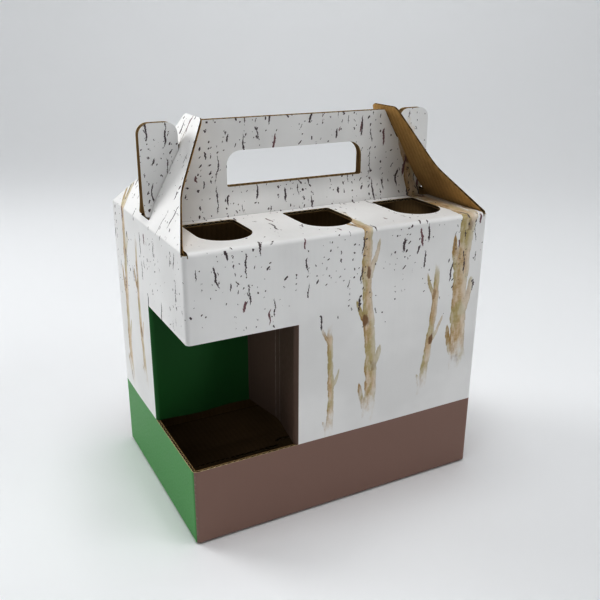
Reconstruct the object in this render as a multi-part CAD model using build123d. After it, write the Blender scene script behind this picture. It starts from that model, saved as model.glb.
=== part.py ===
from build123d import *
import math
import os

# Carry box for small wine bottles, folded from one sheet of printed corrugated board, in millimetres.
# The origin is on the floor under the middle of the box. +X runs along the front from left to right,
# +Y from the front to the back, and +Z is up.

# Board and folds
BOARD = 1.8  # thickness of the corrugated board, a fine flute
FOLD_RADIUS = 0.5  # inside radius of a creased fold
LAYER_GAP = 0.3  # gap between two sheets that lie on each other, or meet at the hinge crease
SIDE_GAP = 1.0  # gap between a folded panel's cut end and the wall beside it

# Box
BOX_LENGTH = 178.0
BOX_DEPTH = 123.0
SHOULDER_HEIGHT = 160.0

# Display niche: the front left corner, cut above and below and pushed inwards
SILL_HEIGHT = 44.5
NICHE_HEIGHT = 70.0
NICHE_LENGTH = 57.5
NICHE_DEPTH = 59.0
NICHE_BOW = 4.6  # how far the niche's end wall bulges into the box at its relief creases
RELIEF_SPACING = 5.0  # between the two relief creases
RELIEF_BEND = 2.0  # radius of the soft bend at a relief crease

# Neck holes in the shoulders
HOLES_PER_ROW = 3
HOLE_WIDTH = 29.0
HOLE_DEPTH = 37.0
HOLE_MARGIN = 12.0  # from the shoulder's outer edge
HOLE_CORNER = 2.0

# Handle: two panels, one on each shoulder, that lean together, with a hooked wing at each end
HANDLE_SPREAD = 14.2  # between the panels' printed faces at their creases
HANDLE_GAP = 0.8  # between the panels at their tops
HANDLE_HEIGHT = 51.2
HAND_SLOT_LENGTH = 84.0
HAND_SLOT_HEIGHT = 19.0
HAND_SLOT_RISE = 15.5
HAND_SLOT_CORNER = 8.0
WING_LENGTH = 20.9
WING_INSET = 0.4  # from the end wall's outer face
WING_CORNER = 6.0
NOTCH_RISE = 35.0  # height of the notch's floor above the shoulder
NOTCH_GAP = 0.5  # between the notch's sloping side and the end flap that leans on it
NOTCH_CORNER = 0.6
EDGE_CORNER = 1.0  # rounding of small cut corners
CREASE_RELIEF = 7.0  # how far the handle's crease stops short of the end wall's outer face

# End flaps: each leans in from an end wall's top, and its slot goes over the doubled wing
FLAP_LEAN = 29.5  # degrees from upright
FLAP_ROOT_BAND = 3.5  # uncut band between the crease and the slot
FLAP_BRIDGE = 7.0  # uncut band between the slot and the tip
FLAP_NECK_RISE = 24.0
FLAP_NECK_WIDTH = 57.0
FLAP_NECK_BEND = 25.0
FLAP_TIP_WIDTH = 24.0
FLAP_TIP_CORNER = 2.5
WING_CLEARANCE = 0.7  # room for the wing at the slot's ends
SLOT_CLEARANCE = 0.4  # room on each face of the doubled wing

# Bottom flaps: the side flaps and the back flap step up and lie on the front flap
STEP_LENGTH = 8.0
SIDE_FLAP_ROOT = 4.0
SIDE_FLAP_LENGTH = 46.0
SIDE_FLAP_TAPER = 18.0
BACK_FLAP_LENGTH = 58.0
BACK_FLAP_ROOT = 39.0
LOCK_RECESS_WIDTH = 20.0
LOCK_RECESS_DEPTH = 6.5
LOCK_RECESS_CORNER = 4.0
FRONT_FLAP_LENGTH = 73.0

# Glued seam inside the back wall
SEAM_WIDTH = 28.0
SEAM_MARGIN = 12.0
SEAM_TAPER = 6.0

OVERRUN = 10.0  # how far a cutting shape runs past what it cuts

# Sizes that follow from those above
CREASE = FOLD_RADIUS + BOARD  # outside radius of a fold
LEAN = math.radians(FLAP_LEAN)
END = BOX_LENGTH / 2
BACK = BOX_DEPTH / 2
FRONT = -BACK
NICHE_TOP = SILL_HEIGHT + NICHE_HEIGHT
NICHE_END = NICHE_LENGTH - END
NICHE_BACK = FRONT + NICHE_DEPTH
HANDLE_FOOT = -HANDLE_SPREAD / 2
HANDLE_LEAN = math.atan((HANDLE_SPREAD / 2 - HANDLE_GAP / 2 - BOARD) / HANDLE_HEIGHT)
SHOULDER_LENGTH = BOX_LENGTH - 2 * (BOARD + SIDE_GAP)
WING_RISE = math.hypot(FLAP_ROOT_BAND, BOARD) + WING_CLEARANCE
WING_REACH = math.hypot(WING_LENGTH - WING_CORNER, HANDLE_HEIGHT - WING_CORNER) + WING_CORNER
FLAP_SLOT_END = WING_REACH + WING_CLEARANCE
FLAP_LENGTH = FLAP_SLOT_END + FLAP_BRIDGE
STRAIGHT_LENGTH = BOX_LENGTH - 2 * CREASE
STRAIGHT_DEPTH = BOX_DEPTH - 2 * CREASE
STEP_RISE = BOARD + LAYER_GAP
BACK_FLAP_EDGE = BACK - BACK_FLAP_LENGTH
SIDE_FLAP_FRONT = FRONT + BOARD + SIDE_GAP
SIDE_FLAP_REAR = BACK_FLAP_EDGE - SIDE_GAP


def block(x, y, z):
    """A box between the low and high values of each axis."""
    size = (x[1] - x[0], y[1] - y[0], z[1] - z[0])
    return Pos(x[0], y[0], z[0]) * Box(*size, align=(Align.MIN, Align.MIN, Align.MIN))


def wall_ring(points, radii, bottom, top):
    """One storey of the upright walls: the outline's printed face, with the board inside it."""
    outline = make_face(FilletPolyline(*points, radius=radii, close=True))
    walls = outline - offset(outline, -BOARD)
    return extrude(Pos(0, 0, bottom) * walls, top - bottom)


def bent_sheet(plane, points, radii, side, low, high):
    """Board bent along its printed face's path in a plane, running from low to high across it."""
    section = make_face(offset(FilletPolyline(*points, radius=radii), BOARD, side=side))
    return extrude(plane.offset(low) * section, high - low)


def flap_inner(height):
    """How far an end flap's inner face is from the end wall's outer face at a height over the shoulder."""
    return height * math.tan(LEAN) + BOARD / math.cos(LEAN)


def slot_half(rise):
    """Half the end flap's slot at a rise from its crease: it narrows as the handle panels lean together."""
    height = rise * math.cos(LEAN) - BOARD * math.sin(LEAN)
    return HANDLE_SPREAD / 2 - height * math.tan(HANDLE_LEAN) + SLOT_CLEARANCE


def mitre_plane(end, shift):
    """The plane between an end wall's top and its flap, through the crease on the printed face."""
    half = LEAN / 2
    normal = Vector(-end * math.sin(half), 0, math.cos(half))
    return Plane(origin=Vector(end * END, 0, SHOULDER_HEIGHT) + normal * shift, z_dir=normal)


def walls():
    """The four walls, with the niche's two walls in the storey between sill and shoulder band."""
    corners = [(-END, FRONT), (END, FRONT), (END, BACK), (-END, BACK)]
    relief = NICHE_BACK - NICHE_DEPTH / 2
    notched = [
        (NICHE_END, FRONT),
        *corners[1:],
        (-END, NICHE_BACK),
        (NICHE_END, NICHE_BACK),
        (NICHE_END + NICHE_BOW, relief + RELIEF_SPACING / 2),
        (NICHE_END + NICHE_BOW, relief - RELIEF_SPACING / 2),
    ]
    notched_radii = [CREASE] * 5 + [FOLD_RADIUS, RELIEF_BEND + BOARD, RELIEF_BEND + BOARD]
    body = wall_ring(corners, CREASE, CREASE, SILL_HEIGHT)
    body += wall_ring(notched, notched_radii, SILL_HEIGHT, NICHE_TOP)
    body += wall_ring(corners, CREASE, NICHE_TOP, SHOULDER_HEIGHT - CREASE)
    return body


def seam_flap():
    """The glue flap: a strip of the left wall's board, stuck inside the back wall."""
    left = -END + BOARD
    low = SEAM_MARGIN
    high = SHOULDER_HEIGHT - SEAM_MARGIN
    free_edge = [(left + SEAM_WIDTH, low + SEAM_TAPER), (left + SEAM_WIDTH, high - SEAM_TAPER)]
    outline = make_face(Polyline((left, low), *free_edge, (left, high), close=True))
    return extrude(Plane.XZ.offset(-(BACK - BOARD)) * outline, BOARD)


def end_wall_top(end):
    """The last band of an end wall, mitred under its flap's crease."""
    x = sorted((end * END, end * (END - BOARD)))
    band = block(x, (-STRAIGHT_DEPTH / 2, STRAIGHT_DEPTH / 2), (SHOULDER_HEIGHT - CREASE, SHOULDER_HEIGHT))
    return split(band, bisect_by=mitre_plane(end, -LAYER_GAP / 2), keep=Keep.BOTTOM)


def neck_hole():
    """A hole for a bottle's neck: round towards the box's outside, straight beside the handle."""
    radius = HOLE_WIDTH / 2
    straight = HOLE_DEPTH - radius
    outline = Circle(radius) + Pos(0, straight / 2) * Rectangle(HOLE_WIDTH, straight)
    outline = fillet(outline.vertices().group_by(Axis.Y)[-1], HOLE_CORNER)
    return Pos(0, FRONT + HOLE_MARGIN + radius) * outline


def handle_outline():
    """One handle panel, rising from its crease: hand slot, wings, and a notch behind each wing."""
    half = [
        (END - WING_INSET, WING_RISE),
        (END - WING_INSET, HANDLE_HEIGHT),
        (END - WING_LENGTH, HANDLE_HEIGHT),
        (END - WING_LENGTH, NOTCH_RISE),
        (END - flap_inner(NOTCH_RISE) - NOTCH_GAP, NOTCH_RISE),
        (END - flap_inner(HANDLE_HEIGHT) - NOTCH_GAP, HANDLE_HEIGHT),
    ]
    radii = [EDGE_CORNER, WING_CORNER, WING_CORNER, NOTCH_CORNER, NOTCH_CORNER, EDGE_CORNER]
    other_half = [(-x, rise) for x, rise in reversed(half)]
    panel = make_face(FilletPolyline(*half, *other_half, radius=radii + radii[::-1], close=True))
    slot = Rectangle(HAND_SLOT_LENGTH, HAND_SLOT_HEIGHT, align=(Align.CENTER, Align.MIN))
    slot = fillet(slot.vertices().group_by(Axis.Y)[-1], HAND_SLOT_CORNER)
    slot = fillet(slot.vertices().group_by(Axis.Y)[0], EDGE_CORNER)
    return panel - Pos(0, HAND_SLOT_RISE) * slot


def gable_half():
    """The front shoulder, creased to the front wall, with the handle panel creased to it."""
    root = 2 * WING_RISE
    path = [
        (FRONT, SHOULDER_HEIGHT - 2 * CREASE),
        (FRONT, SHOULDER_HEIGHT),
        (HANDLE_FOOT, SHOULDER_HEIGHT),
        (HANDLE_FOOT + root * math.sin(HANDLE_LEAN), SHOULDER_HEIGHT + root * math.cos(HANDLE_LEAN)),
    ]
    reach = SHOULDER_LENGTH / 2
    half = bent_sheet(Plane.YZ, path, [CREASE, FOLD_RADIUS], Side.RIGHT, -reach, reach)
    spacing = (BOX_LENGTH - 2 * BOARD) / HOLES_PER_ROW
    for place in GridLocations(spacing, 0, HOLES_PER_ROW, 1):
        hole = place * neck_hole()
        half -= extrude(Pos(0, 0, SHOULDER_HEIGHT - BOARD - OVERRUN) * hole, BOARD + 2 * OVERRUN)
    for end in (-1, 1):
        x = sorted((end * (END - CREASE_RELIEF), end * END))
        z = (SHOULDER_HEIGHT - BOARD - OVERRUN, SHOULDER_HEIGHT + OVERRUN)
        half -= block(x, (HANDLE_FOOT - CREASE, OVERRUN), z)
    outward = (0, -math.cos(HANDLE_LEAN), math.sin(HANDLE_LEAN))
    face = Plane(origin=(0, HANDLE_FOOT, SHOULDER_HEIGHT), x_dir=(1, 0, 0), z_dir=outward)
    return half + extrude(face * handle_outline(), -BOARD)


def bottom_front_flap():
    """The lowest bottom flap. Its sides step in where the side flaps come down to the walls."""
    edge = FRONT + FRONT_FLAP_LENGTH
    reach = STRAIGHT_LENGTH / 2
    path = [(FRONT, 2 * CREASE), (FRONT, 0), (edge, 0)]
    flap = bent_sheet(Plane.YZ, path, CREASE, Side.LEFT, -reach, reach)
    root = END - SIDE_FLAP_ROOT - BOARD - STEP_LENGTH - SIDE_GAP
    for end in (-1, 1):
        x = sorted((end * root, end * END))
        flap -= block(x, (FRONT + CREASE, SIDE_FLAP_REAR + SIDE_GAP / 2), (-OVERRUN, BOARD + OVERRUN))
    return flap


def bottom_back_flap():
    """The bottom flap that steps up over the front one, with the lock's recess in its free edge."""
    root = BACK - BACK_FLAP_ROOT
    step = root - STEP_LENGTH
    path = [(BACK, 2 * CREASE), (BACK, 0), (root, 0), (step, STEP_RISE), (BACK_FLAP_EDGE, STEP_RISE)]
    reach = STRAIGHT_LENGTH / 2
    flap = bent_sheet(Plane.YZ, path, [CREASE, CREASE, FOLD_RADIUS], Side.RIGHT, -reach, reach)
    recess = RectangleRounded(LOCK_RECESS_WIDTH, 2 * LOCK_RECESS_DEPTH, LOCK_RECESS_CORNER)
    return flap - extrude(Pos(0, BACK_FLAP_EDGE, -OVERRUN) * recess, STEP_RISE + BOARD + 2 * OVERRUN)


def bottom_side_flap(end):
    """A short bottom flap that steps up on to the front one, with its front corner cut off."""
    root = END - BOARD - SIDE_FLAP_ROOT
    step = root - STEP_LENGTH
    tip = END - BOARD - SIDE_FLAP_LENGTH
    path = [(END, 2 * CREASE), (END, 0), (root, 0), (step, STEP_RISE), (tip, STEP_RISE)]
    radii = [CREASE, CREASE, FOLD_RADIUS]
    flap = bent_sheet(Plane.XZ, path, radii, Side.RIGHT, -SIDE_FLAP_REAR, -SIDE_FLAP_FRONT)
    corner = [(tip, SIDE_FLAP_FRONT), (step, SIDE_FLAP_FRONT), (tip, SIDE_FLAP_FRONT + SIDE_FLAP_TAPER)]
    cut_off = make_face(Polyline(*corner, close=True))
    flap -= extrude(Pos(0, 0, -OVERRUN) * cut_off, STEP_RISE + BOARD + 2 * OVERRUN)
    inner = sorted((END - BOARD, END))
    flap += block(inner, (SIDE_FLAP_REAR, STRAIGHT_DEPTH / 2), (0, CREASE))
    flap += block(inner, (-STRAIGHT_DEPTH / 2, SIDE_FLAP_FRONT), (0, CREASE))
    return flap if end > 0 else mirror(flap, about=Plane.YZ)


def carton():
    """The whole folded sheet but for the two end flaps."""
    gable = gable_half()
    body = walls() + seam_flap()
    body += gable
    body += mirror(gable, about=Plane.XZ)
    body += bottom_front_flap()
    body += bottom_back_flap()
    for end in (-1, 1):
        body += end_wall_top(end)
        body += bottom_side_flap(end)
    return body


def end_flap(end):
    """A gable flap in its locked place: wide at the crease, drawn in to a strap, slotted for the wing."""
    outward = (end * math.cos(LEAN), 0, math.sin(LEAN))
    face = Plane(origin=(end * END, 0, SHOULDER_HEIGHT), x_dir=(0, end, 0), z_dir=outward)
    half = [
        (STRAIGHT_DEPTH / 2, 0),
        (FLAP_NECK_WIDTH / 2, FLAP_NECK_RISE),
        (FLAP_TIP_WIDTH / 2, FLAP_LENGTH),
    ]
    other_half = [(-across, rise) for across, rise in reversed(half)]
    outline = make_face(Polyline(*half, *other_half, close=True))
    outline = fillet(outline.vertices().group_by(Axis.Y)[1], FLAP_NECK_BEND)
    outline = fillet(outline.vertices().group_by(Axis.Y)[-1], FLAP_TIP_CORNER)
    slot = [(slot_half(FLAP_ROOT_BAND), FLAP_ROOT_BAND), (slot_half(FLAP_SLOT_END), FLAP_SLOT_END)]
    slot += [(-across, rise) for across, rise in reversed(slot)]
    outline -= make_face(FilletPolyline(*slot, radius=EDGE_CORNER, close=True))
    flap = extrude(face * outline, -BOARD)
    return split(flap, bisect_by=mitre_plane(end, LAYER_GAP / 2), keep=Keep.TOP)


os.makedirs("parts", exist_ok=True)
export_step(carton(), "parts/carton.step")
export_step(end_flap(-1), "parts/left_end_flap.step")
export_step(end_flap(1), "parts/right_end_flap.step")
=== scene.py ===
import math

import bmesh
import bpy
from mathutils import Matrix, Vector


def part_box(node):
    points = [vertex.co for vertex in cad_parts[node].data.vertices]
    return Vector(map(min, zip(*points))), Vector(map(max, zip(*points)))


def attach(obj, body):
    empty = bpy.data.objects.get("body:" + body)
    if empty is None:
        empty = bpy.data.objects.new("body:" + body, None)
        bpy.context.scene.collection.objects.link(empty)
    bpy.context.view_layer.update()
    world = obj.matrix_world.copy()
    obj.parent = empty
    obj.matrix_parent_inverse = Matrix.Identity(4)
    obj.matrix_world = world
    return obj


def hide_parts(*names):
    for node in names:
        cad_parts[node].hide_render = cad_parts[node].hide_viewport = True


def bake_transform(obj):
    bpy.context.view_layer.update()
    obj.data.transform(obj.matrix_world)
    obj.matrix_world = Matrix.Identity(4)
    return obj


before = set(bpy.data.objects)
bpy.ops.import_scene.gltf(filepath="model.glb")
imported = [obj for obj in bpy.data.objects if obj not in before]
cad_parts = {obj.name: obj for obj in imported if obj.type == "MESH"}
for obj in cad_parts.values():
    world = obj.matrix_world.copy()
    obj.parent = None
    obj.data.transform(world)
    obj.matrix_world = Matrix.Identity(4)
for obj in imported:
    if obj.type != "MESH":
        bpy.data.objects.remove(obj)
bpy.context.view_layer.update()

# Front wall, front shoulder and front handle panel: one run of the sheet from the floor to the hand hold.
# The sheet is corrugated board, a printed white liner and a kraft liner glued on a fluted middle paper.
# It is die cut flat, with the window, neck holes and hand slot, and bent at its creases.
MM = 0.001
carton_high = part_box("carton")[1]
END = carton_high.x / MM
BACK = carton_high.y / MM
FRONT = -BACK
SHOULDER = 160.0
BOARD = 1.8
LINER = 0.3
MEDIUM = 0.2
FLUTE_PITCH = 3.3
FLUTE_STEPS = 8
INNER_RADIUS = 0.5
CREASE = INNER_RADIUS + BOARD
CORNER_RUN = CREASE * math.pi / 2
SIDE_GAP = 1.0
BEND_STEPS = 6
ARC_STEPS = 8
GUARD = 0.4
SHARP_ANGLE = math.radians(32)
ACROSS, UP = 0, 1
AXES = (Vector((1, 0, 0)), Vector((0, 1, 0)))
PRINT, KRAFT, EDGE, FLUTE = range(4)


class FoldLine:
    """The printed face's line through corners (a, b, radius), with the board on one side of it."""

    def __init__(self, corners, side):
        self.side = side
        self.parts = []
        self.cuts = []
        self.starts = []
        self.length = 0.0
        points = [Vector(corner[:2]) for corner in corners]
        here = points[0]
        for index in range(1, len(points)):
            ahead = (points[index] - points[index - 1]).normalized()
            if index == len(points) - 1:
                self.add_straight(here, ahead, (points[index] - here).dot(ahead))
                break
            after = (points[index + 1] - points[index]).normalized()
            turn = -ahead.angle_signed(after)
            radius = corners[index][2]
            reach = radius * math.tan(abs(turn) / 2)
            self.add_straight(here, ahead, (points[index] - here).dot(ahead) - reach)
            self.add_bend(points[index] - ahead * reach, ahead, turn, radius)
            here = points[index] + after * reach

    def add_straight(self, start, ahead, length):
        self.starts.append(self.length)
        self.parts.append((self.length, start, ahead, 0.0, 0.0))
        self.length += length

    def add_bend(self, start, ahead, turn, radius):
        length = abs(turn) * radius
        self.parts.append((self.length, start, ahead, turn, length))
        self.cuts += [self.length - GUARD, self.length + length + GUARD]
        self.cuts += [self.length + length * step / BEND_STEPS for step in range(BEND_STEPS + 1)]
        self.length += length

    def at(self, run):
        """The point at a run along the line, the way into the board, and how near a crease's middle it is."""
        here = next((part for part in reversed(self.parts) if run >= part[0]), self.parts[0])
        first, start, ahead, turn, length = here
        crease = 0.0
        point = start + ahead * (run - first)
        if length:
            share = (run - first) / length
            radius = length / abs(turn)
            centre = start + Vector((-ahead.y, ahead.x)) * math.copysign(radius, turn)
            spin = Matrix.Rotation(turn * share, 2)
            point = centre + spin @ (start - centre)
            ahead = spin @ ahead
            crease = 1 - abs(2 * share - 1)
        return point, Vector((ahead.y, -ahead.x)) * self.side, crease


def round_off(corners):
    """An outline through corners (s, t, radius), with an arc at each corner that has a radius."""
    path = []
    for index, (s, t, radius) in enumerate(corners):
        corner = Vector((s, t))
        if not radius:
            path.append(corner)
            continue
        before = (Vector(corners[index - 1][:2]) - corner).normalized()
        after = (Vector(corners[(index + 1) % len(corners)][:2]) - corner).normalized()
        half = before.angle(after) / 2
        centre = corner + (before + after).normalized() * (radius / math.sin(half))
        start = corner + before * (radius / math.tan(half)) - centre
        finish = corner + after * (radius / math.tan(half)) - centre
        turn = -start.angle_signed(finish)
        for step in range(ARC_STEPS + 1):
            path.append(centre + Matrix.Rotation(turn * step / ARC_STEPS, 2) @ start)
    return path


def add_liner(board, loops, near, far, outer_finish, edge_finish):
    """One flat liner of the sheet between two depths, cut to its outline and holes."""
    sides = []
    for depth, finish in ((near, outer_finish), (far, KRAFT)):
        rims = [[board.verts.new((s, t, depth)) for s, t in loop] for loop in loops]
        edges = [board.edges.new(pair) for rim in rims for pair in zip(rim, rim[1:] + rim[:1])]
        filled = bmesh.ops.triangle_fill(board, use_beauty=True, edges=edges, normal=(0, 0, 1))["geom"]
        for part in filled:
            if isinstance(part, bmesh.types.BMFace):
                part.material_index = finish
        sides.append(rims)
    for rim, far_rim in zip(*sides):
        for k in range(len(rim)):
            side = board.faces.new((rim[k - 1], rim[k], far_rim[k], far_rim[k - 1]))
            side.material_index = edge_finish


def spans(loops, s):
    """The stretches of t where the line at s runs inside the outline and outside its holes."""
    crossings = []
    for loop in loops:
        for a, b in zip(loop, loop[1:] + loop[:1]):
            if (a[0] > s) != (b[0] > s):
                crossings.append(a[1] + (s - a[0]) / (b[0] - a[0]) * (b[1] - a[1]))
    crossings.sort()
    return list(zip(crossings[::2], crossings[1::2]))


def add_flutes(board, loops):
    """The fluted middle paper: a wave across the sheet whose ridges run up it, cut to the same outline."""
    low = min(s for s, t in loops[0])
    high = max(s for s, t in loops[0])
    rise = BOARD / 2 - LINER - MEDIUM / 2
    count = math.floor((high - low) * FLUTE_STEPS / FLUTE_PITCH)
    before = []
    for index in range(count):
        s = low + (index + 0.5) * (high - low) / count
        middle = BOARD / 2 + rise * math.cos(2 * math.pi * s / FLUTE_PITCH)
        depths = (middle - MEDIUM / 2, middle + MEDIUM / 2)
        column = []
        for start, end in spans(loops, s):
            ring = [(start, depths[0]), (end, depths[0]), (end, depths[1]), (start, depths[1])]
            column.append([board.verts.new((s, t, w)) for t, w in ring])
        if len(column) == len(before):
            for old, new in zip(before, column):
                for k in range(4):
                    side = board.faces.new((old[k], new[k], new[k - 3], old[k - 3]))
                    side.material_index = EDGE if k % 2 else FLUTE
        else:
            for ring in before + column:
                board.faces.new(ring).material_index = FLUTE
        before = column
    for ring in before:
        board.faces.new(ring).material_index = FLUTE


def slice_board(board, normal, place):
    """Cuts the flat board's faces along a line, so that they can bend there."""
    everything = board.verts[:] + board.edges[:] + board.faces[:]
    bmesh.ops.bisect_plane(board, geom=everything, dist=MM, plane_co=normal * place, plane_no=normal)


def fold_board(
    name, loops, line, along, place, blank, finishes, grid=(0, 0), bow=None, slants=(), crush=None
):
    """Cuts liners and flutes to the loops, bends them along the fold line and puts them in place."""
    board = bmesh.new()
    add_liner(board, loops, 0, LINER, PRINT, EDGE)
    add_flutes(board, loops)
    add_liner(board, loops, BOARD - LINER, BOARD, KRAFT, KRAFT)
    bmesh.ops.recalc_face_normals(board, faces=board.faces)
    for cut in line.cuts:
        slice_board(board, AXES[along], cut)
    for normal, distance in slants:
        slice_board(board, normal, distance)
    for axis in (ACROSS, UP):
        low = min(point[axis] for point in loops[0])
        high = max(point[axis] for point in loops[0])
        for step in range(1, grid[axis]):
            slice_board(board, AXES[axis], low + (high - low) * step / grid[axis])
    spot = board.verts.layers.float_vector.new("blank")
    for vert in board.verts:
        s, t, depth = vert.co
        run, across = (t, s) if along == UP else (s, t)
        point, inward, crease = line.at(run)
        depth *= crush(s, t) if crush and depth else 1
        point = point + inward * (depth + (bow(s, t) if bow else 0))
        vert[spot] = (blank[0] + s, blank[1] + t, crease)
        vert.co = Vector(place(point.x, point.y, across)) * MM
    if board.calc_volume(signed=True) < 0:
        bmesh.ops.reverse_faces(board, faces=board.faces)
    mesh = bpy.data.meshes.new(name)
    board.to_mesh(mesh)
    board.free()
    mesh.shade_smooth()
    mesh.set_sharp_from_angle(angle=SHARP_ANGLE)
    for finish in finishes:
        mesh.materials.append(finish)
    piece = bpy.data.objects.new(name, mesh)
    bpy.context.collection.objects.link(piece)
    return piece


class Value:
    """A number or colour that a shader node gives. Reckoning with it adds math nodes to the same tree."""

    def __init__(self, ink, socket):
        self.ink = ink
        self.socket = socket

    def __add__(self, other):
        return self.ink.math("ADD", self, other)

    def __sub__(self, other):
        return self.ink.math("SUBTRACT", self, other)

    def __mul__(self, other):
        return self.ink.math("MULTIPLY", self, other)

    def __truediv__(self, other):
        return self.ink.math("DIVIDE", self, other)

    def __mod__(self, other):
        return self.ink.math("FLOORED_MODULO", self, other)

    def __lt__(self, other):
        return self.ink.math("LESS_THAN", self, other)

    def __gt__(self, other):
        return self.ink.math("GREATER_THAN", self, other)

    def __abs__(self):
        return self.ink.math("ABSOLUTE", self)

    def __floor__(self):
        return self.ink.math("FLOOR", self)

    def ramp(self, low, high, bottom=0.0, top=1.0):
        """A soft step of the value: bottom at the low level, top at the high level."""
        values = {"Value": self, "From Min": low, "From Max": high, "To Min": bottom, "To Max": top}
        return self.ink.add("ShaderNodeMapRange", values, interpolation_type="SMOOTHSTEP")[0]


class Ink:
    """Adds shader nodes to a tree. A node takes numbers, colours and the values that other nodes give."""

    def __init__(self, tree):
        self.tree = tree

    def add(self, kind, values, **settings):
        """A new node with these settings and inputs, as the list of the values that it gives."""
        node = self.tree.nodes.new(kind)
        for name, setting in settings.items():
            setattr(node, name, setting)
        for socket, value in values.items():
            self.join(value, node.inputs[socket])
        return [Value(self, socket) for socket in node.outputs]

    def join(self, value, socket):
        if isinstance(value, Value):
            self.tree.links.new(value.socket, socket)
        else:
            socket.default_value = value

    def math(self, operation, *values):
        return self.add("ShaderNodeMath", dict(enumerate(values)), operation=operation)[0]

    def mix(self, share, under, over):
        """A colour laid over another one. A mix node's colour sockets come after its number sockets."""
        values = {0: share, 6: under, 7: over}
        return self.add("ShaderNodeMix", values, data_type="RGBA")[2]

    def spot(self, x, y):
        return self.add("ShaderNodeCombineXYZ", {"X": x, "Y": y})[0]

    def noise(self, u, v, scale, detail=2.0, roughness=0.5):
        """Cloudy noise over the sheet, with its own scale across the sheet and up it."""
        place = self.spot(u * scale[0], v * scale[1])
        values = {"Vector": place, "Scale": 1.0, "Detail": detail, "Roughness": roughness}
        return self.add("ShaderNodeTexNoise", values, noise_dimensions="2D")[0]

    def cells(self, u, v, scale):
        """Scattered points: the distance to the nearest, and a random value of that point's own."""
        values = {"Vector": self.spot(u * scale, v * scale), "Scale": 1.0}
        far, colour = self.add("ShaderNodeTexVoronoi", values, voronoi_dimensions="2D")[:2]
        return far, self.add("ShaderNodeSeparateColor", {"Color": colour})[0]

    def scatter(self, column, row):
        """Three random values for a place in a grid of columns and rows."""
        values = {"Vector": self.spot(column, row)}
        colour = self.add("ShaderNodeTexWhiteNoise", values, noise_dimensions="2D")[1]
        return self.add("ShaderNodeSeparateColor", {"Color": colour})

    def blank(self):
        """The place on the flat sheet in millimetres, round the box and up it, and how near a crease."""
        place = self.add("ShaderNodeAttribute", {}, attribute_name="blank")[1]
        return self.add("ShaderNodeSeparateXYZ", {"Vector": place})


def new_finish(name):
    """An empty material, its node writer and its main shader."""
    finish = bpy.data.materials.new(name)
    finish.use_nodes = True
    return finish, Ink(finish.node_tree), finish.node_tree.nodes["Principled BSDF"]


FIBRE_SCALE = (1.1, 0.8)
BUMP_STRENGTH = 0.5
BUMP_HEIGHT = 0.1 * MM


def flute_wave(ink, u):
    """How high the fluted paper stands across the sheet, from -1 to 1."""
    return ink.math("COSINE", u * (2 * math.pi / FLUTE_PITCH))


def paper_relief(ink, shader, u, v, ridge, grain):
    """Bump of a liner: the flutes show through as faint ridges, with paper grain between them."""
    height = ink.noise(u, v, FIBRE_SCALE, detail=4.0) * grain + flute_wave(ink, u) * ridge
    values = {"Strength": BUMP_STRENGTH, "Distance": BUMP_HEIGHT, "Height": height}
    ink.join(ink.add("ShaderNodeBump", values)[0], shader.inputs["Normal"])


# each kind of fleck: its share of the places, its sizes on the sheet in millimetres, and its slant as a slope
STROKES = {"share": 0.7, "pitch": 8.3, "row": 16.0, "width": 0.5, "length": 6.6, "slant": 0.16}
DASHES = {"share": 0.6, "pitch": 6.7, "row": 4.4, "width": 0.42, "length": 1.05, "slant": 1.3}
DOTS = {"share": 0.38, "pitch": 4.1, "row": 3.1, "width": 0.3, "length": 0.42, "slant": 0.6}
PLUM_MARKS = {"share": 0.34, "pitch": 14.5, "row": 21.0, "width": 0.8, "length": 5.2, "slant": 0.4}
BETWEEN_ROWS = 0.5
ROW_SHIFT = 7.0
LINE_SHIFT = 0.4
FLECK_SHIFT = 0.22
THINNEST = 0.4
SHORTEST = 0.3
FLECK_RIM = (1.0, 0.6)


def fleck_trail(ink, u, v, density, share, pitch, row, width, length, slant):
    """Flecks along upright lines a pitch apart, one to a row, each of its own size, slant and place."""
    across = u / pitch
    column = math.floor(across)
    line = ink.scatter(column, BETWEEN_ROWS)
    up = v / row + line[0] * ROW_SHIFT
    step = math.floor(up)
    own = ink.scatter(column, step)
    other = ink.scatter(step, column)
    y = (up - step - 0.5) * row
    x = (across - column - 0.5) * pitch
    x += (line[1] - 0.5) * (pitch * LINE_SHIFT)
    x += (own[0] - 0.5) * (pitch * FLECK_SHIFT)
    x += (own[1] - 0.5) * slant * y
    thin = x / (own[2] * width + width * THINNEST)
    tall = y / (other[0] * length + length * SHORTEST)
    fleck = (thin * thin + tall * tall).ramp(*FLECK_RIM)
    return fleck * (other[1] < density * share)


RAGGED_SCALE = (1.3, 0.9)
RAGGED_REACH = (1.5, 1.2)
SWAY_SCALE = (0.03, 0.035)
SWAY_REACH = 8.0
BEND_SCALE = (0.11, 0.14)
BEND_REACH = 2.2
CLUSTER_SCALE = (0.075, 0.03)
CLUSTER_LEVELS = (0.38, 0.64, 0.06, 1.0)
FLECK_FOOT = (98.0, 138.0)
BARE_FOOT = (158.0, 166.0)
BARE_TOP = (203.0, 213.0)
BARE_SHARE = 0.6
DENSE_FOOT = (208.0, 214.0)
DENSE_SHARE = 0.45


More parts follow.
